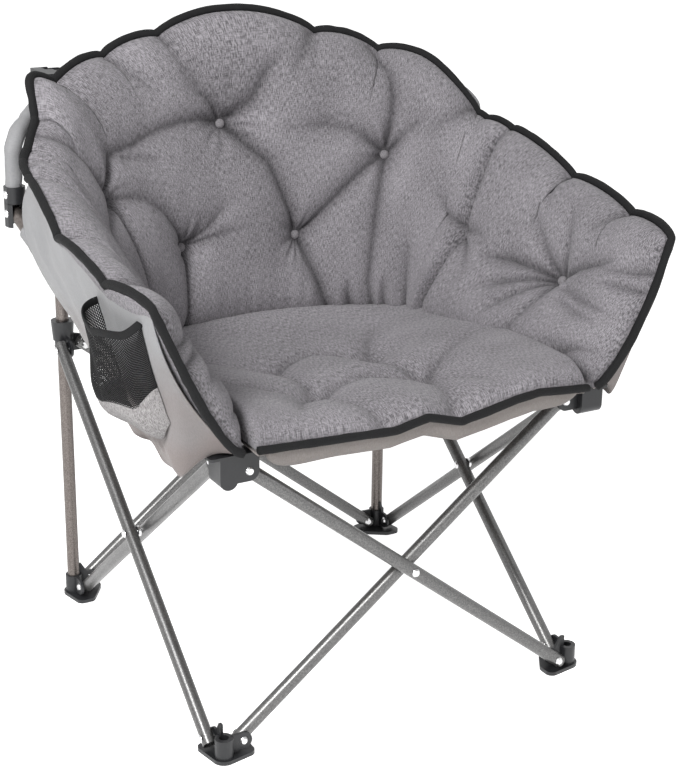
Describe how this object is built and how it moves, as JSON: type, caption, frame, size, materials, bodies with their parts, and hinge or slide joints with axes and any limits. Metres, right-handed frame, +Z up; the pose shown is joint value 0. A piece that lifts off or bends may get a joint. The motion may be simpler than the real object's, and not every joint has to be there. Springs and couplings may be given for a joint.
{
  "type": "folding club chair",
  "caption": "Folding camp chair with a quilted bucket seat on crossed steel tubes, hinged arms and hinged hoop, plastic corner fittings and a mesh side pocket.",
  "frame": {"origin": "on the floor, in the middle between the four foot sockets", "axes": "+Z up, -Y towards the open front, +X to the right seen from the front"},
  "size_m": [0.8792, 0.7098, 0.9611],
  "materials": {
    "plastic": "satin black",
    "tube": "grey metallic powder coat",
    "rivet": "satin",
    "quilt": "heathered grey weave over padding",
    "shell": "plain light grey weave",
    "binding": "black woven tape",
    "mesh": "open black mesh"
  },
  "bodies": {
    "back_middle": {"back_cross_rivet": "rivet", "back_cushion": "quilt", "back_shell": "shell", "back_trim": "binding"},
    "back_leg_a": {"back_leg_outer": "tube"},
    "back_leg_b": {"back_leg_inner": "tube"},
    "left_post": {"foot_rear_left": "plastic", "left_post_rivets": "rivet", "upright_left": "tube", "bracket_left": "plastic", "side_rail_left": "tube", "elbow_left": "plastic", "left_side_cushion": "quilt", "left_side_shell": "shell", "left_binding": "binding", "left_button": "quilt", "mesh_pocket": "mesh"},
    "right_post": {"foot_rear_right": "plastic", "right_post_rivets": "rivet", "upright_right": "tube", "bracket_right": "plastic", "side_rail_right": "tube", "elbow_right": "plastic", "right_side_cushion": "quilt", "right_side_shell": "shell", "right_binding": "binding", "right_button": "quilt"},
    "left_slider": {"slider_left": "plastic", "left_slider_rivets": "rivet"},
    "right_slider": {"slider_right": "plastic", "right_slider_rivets": "rivet"},
    "left_leg_rear": {"left_leg_inner": "tube", "left_cross_rivet": "rivet"},
    "left_leg_front": {"left_leg_outer": "tube"},
    "right_leg_rear": {"right_leg_outer": "tube", "right_cross_rivet": "rivet"},
    "right_leg_front": {"right_leg_inner": "tube"},
    "left_front_foot": {"foot_front_left": "plastic", "front_left_foot_rivets": "rivet"},
    "right_front_foot": {"foot_front_right": "plastic", "front_right_foot_rivets": "rivet"},
    "left_hub": {"hub_left": "plastic", "left_hub_rivets": "rivet"},
    "right_hub": {"hub_right": "plastic", "right_hub_rivets": "rivet"},
    "front_leg_a": {"front_leg_inner": "tube", "front_cross_rivet": "rivet"},
    "front_leg_b": {"front_leg_outer": "tube"},
    "left_arm": {"arm_tube_left": "tube", "arm_sleeve_left": "shell"},
    "right_arm": {"arm_tube_right": "tube", "arm_sleeve_right": "shell"},
    "left_arch": {"arch_tube_left": "tube", "top_link_pin_left": "rivet"},
    "right_arch": {"arch_tube_right": "tube", "top_link_pin_right": "rivet"},
    "top_link": {"top_link": "plastic"},
    "seat": {"seat_cushion": "quilt", "seat_sling": "shell", "seat_binding": "binding"}
  },
  "joints": [
    {"name": "fold", "type": "hinge", "parent": "back_middle", "child": "back_leg_a", "pos_m": [0, 0.295, 0.23275], "axis": [0, -1, 0], "range_deg": [0, 47.7], "deforming": ["back_cushion", "back_shell", "back_trim"]},
    {"name": "back_cross_b", "type": "hinge", "parent": "back_middle", "child": "back_leg_b", "pos_m": [0, 0.295, 0.23275], "axis": [0, -1, 0], "range_deg": [-47.75, 0]},
    {"name": "left_post_hinge", "type": "hinge", "parent": "back_leg_a", "child": "left_post", "pos_m": [-0.265, 0.295, 0.023], "axis": [0, -1, 0], "range_deg": [-47.75, 0], "deforming": ["left_side_cushion", "left_side_shell", "left_binding", "left_button", "mesh_pocket"]},
    {"name": "right_slider_hinge", "type": "hinge", "parent": "back_leg_a", "child": "right_slider", "pos_m": [0.265, 0.295, 0.4425], "axis": [0, -1, 0], "range_deg": [-47.75, 0]},
    {"name": "right_post_hinge", "type": "hinge", "parent": "back_leg_b", "child": "right_post", "pos_m": [0.265, 0.295, 0.023], "axis": [0, -1, 0], "range_deg": [0, 47.75], "deforming": ["right_side_cushion", "right_side_shell", "right_binding", "right_button"]},
    {"name": "left_slider_hinge", "type": "hinge", "parent": "back_leg_b", "child": "left_slider", "pos_m": [-0.265, 0.295, 0.4425], "axis": [0, -1, 0], "range_deg": [0, 47.75]},
    {"name": "left_leg_hinge", "type": "hinge", "parent": "left_post", "child": "left_leg_rear", "pos_m": [-0.295, 0.265, 0.023], "axis": [-1, 0, 0], "range_deg": [0, 47.75]},
    {"name": "left_cross", "type": "hinge", "parent": "left_leg_rear", "child": "left_leg_front", "pos_m": [-0.295, 0, 0.23275], "axis": [1, 0, 0], "range_deg": [0, 95.45]},
    {"name": "left_front_foot_hinge", "type": "hinge", "parent": "left_leg_front", "child": "left_front_foot", "pos_m": [-0.295, -0.265, 0.023], "axis": [1, 0, 0], "range_deg": [-47.75, 0]},
    {"name": "left_hub_hinge", "type": "hinge", "parent": "left_leg_rear", "child": "left_hub", "pos_m": [-0.295, -0.265, 0.4425], "axis": [1, 0, 0], "range_deg": [0, 47.75]},
    {"name": "right_leg_hinge", "type": "hinge", "parent": "right_post", "child": "right_leg_rear", "pos_m": [0.295, 0.265, 0.023], "axis": [-1, 0, 0], "range_deg": [0, 47.75]},
    {"name": "right_cross", "type": "hinge", "parent": "right_leg_rear", "child": "right_leg_front", "pos_m": [0.295, 0, 0.23275], "axis": [1, 0, 0], "range_deg": [0, 95.45]},
    {"name": "right_front_foot_hinge", "type": "hinge", "parent": "right_leg_front", "child": "right_front_foot", "pos_m": [0.295, -0.265, 0.023], "axis": [1, 0, 0], "range_deg": [-47.75, 0]},
    {"name": "right_hub_hinge", "type": "hinge", "parent": "right_leg_rear", "child": "right_hub", "pos_m": [0.295, -0.265, 0.4425], "axis": [1, 0, 0], "range_deg": [0, 47.75]},
    {"name": "front_leg_hinge_a", "type": "hinge", "parent": "left_front_foot", "child": "front_leg_a", "pos_m": [-0.265, -0.295, 0.023], "axis": [0, -1, 0], "range_deg": [0, 47.75]},
    {"name": "front_leg_hinge_b", "type": "hinge", "parent": "right_front_foot", "child": "front_leg_b", "pos_m": [0.265, -0.295, 0.023], "axis": [0, 1, 0], "range_deg": [0, 47.75]},
    {"name": "left_arm_hinge", "type": "hinge", "parent": "left_post", "child": "left_arm", "pos_m": [-0.4, 0.181, 0.695], "axis": [0.9907, 0.1362, 0], "range_deg": [0, 62.25]},
    {"name": "left_arch_hinge", "type": "hinge", "parent": "left_post", "child": "left_arch", "pos_m": [-0.265, 0.338, 0.861], "axis": [0, -1, 0], "range_deg": [0, 76.86]},
    {"name": "right_arm_hinge", "type": "hinge", "parent": "right_post", "child": "right_arm", "pos_m": [0.4, 0.181, 0.695], "axis": [0.9907, -0.1362, 0], "range_deg": [0, 62.25]},
    {"name": "right_arch_hinge", "type": "hinge", "parent": "right_post", "child": "right_arch", "pos_m": [0.265, 0.338, 0.861], "axis": [0, 1, 0], "range_deg": [0, 76.86]},
    {"name": "link_hinge", "type": "hinge", "parent": "left_arch", "child": "top_link", "pos_m": [-0.035, 0.338, 0.927], "axis": [0, -1, 0], "range_deg": [-76.86, 0]},
    {"name": "seat_drop", "type": "hinge", "parent": "back_middle", "child": "seat", "pos_m": [0, 0.21, 0.492], "axis": [1, 0, 0], "range_deg": [0, 90.05], "deforming": ["seat_cushion", "seat_sling", "seat_binding"]}
  ],
  "couplings": [
    {"joint": "back_cross_b", "follows": "fold", "ratio": -1},
    {"joint": "left_post_hinge", "follows": "fold", "ratio": -1},
    {"joint": "right_slider_hinge", "follows": "fold", "ratio": -1},
    {"joint": "right_post_hinge", "follows": "fold", "ratio": 1},
    {"joint": "left_slider_hinge", "follows": "fold", "ratio": 1},
    {"joint": "left_leg_hinge", "follows": "fold", "ratio": 1},
    {"joint": "left_cross", "follows": "fold", "ratio": 2},
    {"joint": "left_front_foot_hinge", "follows": "fold", "ratio": -1},
    {"joint": "left_hub_hinge", "follows": "fold", "ratio": 1},
    {"joint": "right_leg_hinge", "follows": "fold", "ratio": 1},
    {"joint": "right_cross", "follows": "fold", "ratio": 2},
    {"joint": "right_front_foot_hinge", "follows": "fold", "ratio": -1},
    {"joint": "right_hub_hinge", "follows": "fold", "ratio": 1},
    {"joint": "front_leg_hinge_a", "follows": "fold", "ratio": 1},
    {"joint": "front_leg_hinge_b", "follows": "fold", "ratio": 1},
    {"joint": "left_arm_hinge", "follows": "fold", "ratio": 1.304},
    {"joint": "left_arch_hinge", "follows": "fold", "ratio": 1.6103},
    {"joint": "right_arm_hinge", "follows": "fold", "ratio": 1.304},
    {"joint": "right_arch_hinge", "follows": "fold", "ratio": 1.6103},
    {"joint": "link_hinge", "follows": "fold", "ratio": -1.6103},
    {"joint": "seat_drop", "follows": "fold", "ratio": 1.8868}
  ]
}
